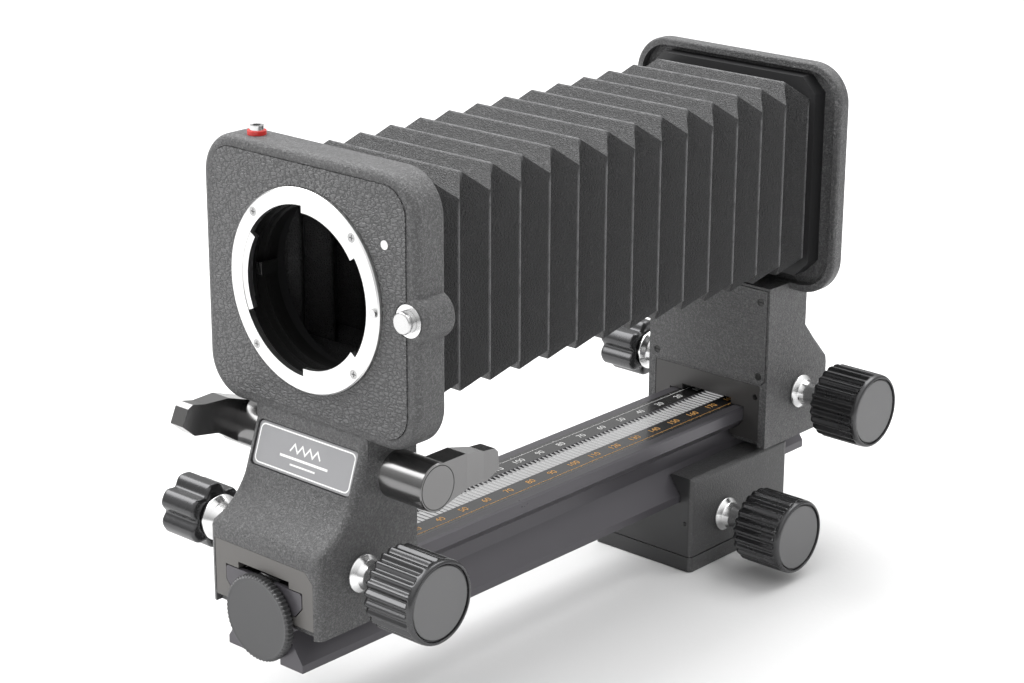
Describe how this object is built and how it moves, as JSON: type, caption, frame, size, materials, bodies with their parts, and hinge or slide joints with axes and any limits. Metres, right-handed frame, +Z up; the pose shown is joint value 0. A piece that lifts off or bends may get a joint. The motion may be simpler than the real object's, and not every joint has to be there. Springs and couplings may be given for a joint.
{
  "type": "bellows focusing attachment",
  "caption": "Macro bellows attachment: lens and camera standards on a geared dovetail rail, joined by folded bellows, with a tripod block, drive and lock knobs.",
  "frame": {"origin": "mouth of the tripod socket, in the foot of the tripod block", "axes": "+Y along the optical axis from lens to camera, +Z up, +X towards the drive knobs"},
  "size_m": [0.1095, 0.2397, 0.1678],
  "materials": {
    "crackle_paint": "wrinkle enamel, black",
    "block_paint": "wrinkle enamel on the sides, smooth front",
    "leatherette": "pebble grain",
    "satin_chrome": "satin",
    "bright_chrome": "polished",
    "plain_steel": "turned",
    "dark_screws": "blackened",
    "black_baffle": "matt black anodised",
    "bellows_cloth": "coated cloth, satin",
    "frame_black": "matt black",
    "rail_anodised": "dark grey anodised",
    "left_scale_print": "black with white figures",
    "right_scale_print": "black with orange figures",
    "knob_black": "black anodised, grey end discs",
    "disc_grey": "matt grey",
    "lever_black": "gloss black",
    "nameplate_metal": "satin, plain",
    "red_ring": "gloss",
    "white_dot": "gloss"
  },
  "bodies": {
    "block": {"block_body": "block_paint", "block_base_plate": "block_paint", "base_plate_screws": "dark_screws", "tripod_bush": "satin_chrome", "block_bush": "bright_chrome", "block_lock_cone": "bright_chrome"},
    "block_drive": {"block_drive_knob": "knob_black", "block_pinion_shaft": "plain_steel"},
    "block_lock": {"block_lock_knob": "knob_black", "block_lock_screw": "plain_steel"},
    "rail": {"rail": "rail_anodised", "upper_rack": "bright_chrome", "lower_rack": "bright_chrome", "left_scale": "left_scale_print", "right_scale": "right_scale_print", "rail_stop_screws": "dark_screws", "bellows_front": "bellows_cloth", "bellows_rear": "bellows_cloth"},
    "end_disc": {"end_disc_knob": "disc_grey"},
    "lens_standard": {"front_casting": "crackle_paint", "front_leatherette": "leatherette", "front_index_dot": "white_dot", "front_nameplate": "nameplate_metal", "front_guide_plate": "rail_anodised", "lens_mount_ring": "satin_chrome", "lens_mount_screws": "satin_chrome", "lens_springs": "satin_chrome", "front_throat": "black_baffle", "throat_retainer": "black_baffle", "release_collar": "bright_chrome", "cable_socket": "bright_chrome", "cable_socket_ring": "red_ring", "stop_down_washer": "bright_chrome", "lever_lock_washer": "bright_chrome", "front_bush": "bright_chrome", "front_lock_cone": "bright_chrome", "bellows_front_frame": "frame_black"},
    "aperture_drive": {"aperture_ring": "black_baffle"},
    "lens_release": {"lens_release_button": "plain_steel", "lens_lock_pin": "plain_steel"},
    "stop_down": {"stop_down_lever": "lever_black"},
    "lever_lock": {"lever_lock": "lever_black"},
    "front_drive": {"front_drive_knob": "knob_black", "front_pinion_shaft": "plain_steel"},
    "front_lock": {"front_lock_knob": "knob_black", "front_lock_screw": "plain_steel"},
    "camera_standard": {"rear_casting": "crackle_paint", "rear_cover_panel": "crackle_paint", "rear_panel_screws": "dark_screws", "rear_guide_plate": "rail_anodised", "ring_retainer": "dark_screws", "bellows_rear_frame": "frame_black", "rear_bush": "bright_chrome", "rear_lock_cone": "bright_chrome"},
    "camera_ring": {"camera_mount_ring": "satin_chrome"},
    "ring_release": {"ring_release_button": "plain_steel"},
    "rear_drive": {"rear_drive_knob": "knob_black", "rear_pinion_shaft": "plain_steel"},
    "rear_lock": {"rear_lock_knob": "knob_black", "rear_lock_screw": "plain_steel"}
  },
  "joints": [
    {"name": "rail_slide", "type": "slide", "parent": "block", "child": "rail", "axis": [0, 1, 0], "range_m": [-0.014, 0.16]},
    {"name": "block_drive_turn", "type": "hinge", "parent": "block", "child": "block_drive", "pos_m": [0.03, -0.008, 0.0156], "axis": [1, 0, 0], "range_deg": [-1093, 97]},
    {"name": "block_lock_turn", "type": "hinge", "parent": "block", "child": "block_lock", "pos_m": [-0.04, -0.008, 0.0156], "axis": [1, 0, 0], "range_deg": [0, 180]},
    {"name": "end_disc_turn", "type": "hinge", "parent": "rail", "child": "end_disc", "pos_m": [0, -0.195, 0.0365], "axis": [0, 1, 0], "range_deg": [0, 360]},
    {"name": "front_slide", "type": "slide", "parent": "rail", "child": "lens_standard", "axis": [0, 1, 0], "range_m": [0, 0.079], "deforming": ["bellows_front"]},
    {"name": "front_drive_turn", "type": "hinge", "parent": "lens_standard", "child": "front_drive", "pos_m": [0.03, -0.1768, 0.0506], "axis": [1, 0, 0], "range_deg": [-1259, 1]},
    {"name": "front_lock_turn", "type": "hinge", "parent": "lens_standard", "child": "front_lock", "pos_m": [-0.04, -0.1768, 0.0506], "axis": [1, 0, 0], "range_deg": [0, 180]},
    {"name": "lens_release_press", "type": "slide", "parent": "lens_standard", "child": "lens_release", "axis": [0, 1, 0], "range_m": [0, 0.002], "stiffness_N_per_m": 400, "springref_m": -0.002},
    {"name": "stop_down_turn", "type": "hinge", "parent": "lens_standard", "child": "stop_down", "pos_m": [0.03, -0.1658, 0.0775], "axis": [1, 0, 0], "range_deg": [-30, 0]},
    {"name": "aperture_turn", "type": "hinge", "parent": "lens_standard", "child": "aperture_drive", "pos_m": [0, -0.1665, 0.1265], "axis": [0, 1, 0], "range_deg": [-1, 13]},
    {"name": "lever_lock_turn", "type": "hinge", "parent": "lens_standard", "child": "lever_lock", "pos_m": [-0.03, -0.1658, 0.0775], "axis": [1, 0, 0], "range_deg": [0, 30]},
    {"name": "rear_slide", "type": "slide", "parent": "rail", "child": "camera_standard", "axis": [0, 1, 0], "range_m": [-0.079, 0], "deforming": ["bellows_rear"]},
    {"name": "rear_drive_turn", "type": "hinge", "parent": "camera_standard", "child": "rear_drive", "pos_m": [0.03, 0.0255, 0.0506], "axis": [1, 0, 0], "range_deg": [-1, 1259]},
    {"name": "rear_lock_turn", "type": "hinge", "parent": "camera_standard", "child": "rear_lock", "pos_m": [-0.04, 0.0255, 0.0506], "axis": [1, 0, 0], "range_deg": [0, 180]},
    {"name": "camera_ring_turn", "type": "hinge", "parent": "camera_standard", "child": "camera_ring", "pos_m": [0, 0.032, 0.1265], "axis": [0, 1, 0], "range_deg": [0, 90]},
    {"name": "ring_release_press", "type": "slide", "parent": "camera_standard", "child": "ring_release", "axis": [0, -1, 0], "range_m": [0, 0.002], "stiffness_N_per_m": 400, "springref_m": -0.002}
  ],
  "couplings": [
    {"joint": "block_drive_turn", "follows": "rail_slide", "rad_per_m": -119.05},
    {"joint": "front_drive_turn", "follows": "front_slide", "rad_per_m": -277.78},
    {"joint": "rear_drive_turn", "follows": "rear_slide", "rad_per_m": -277.78},
    {"joint": "aperture_turn", "follows": "stop_down_turn", "ratio": -0.4}
  ]
}
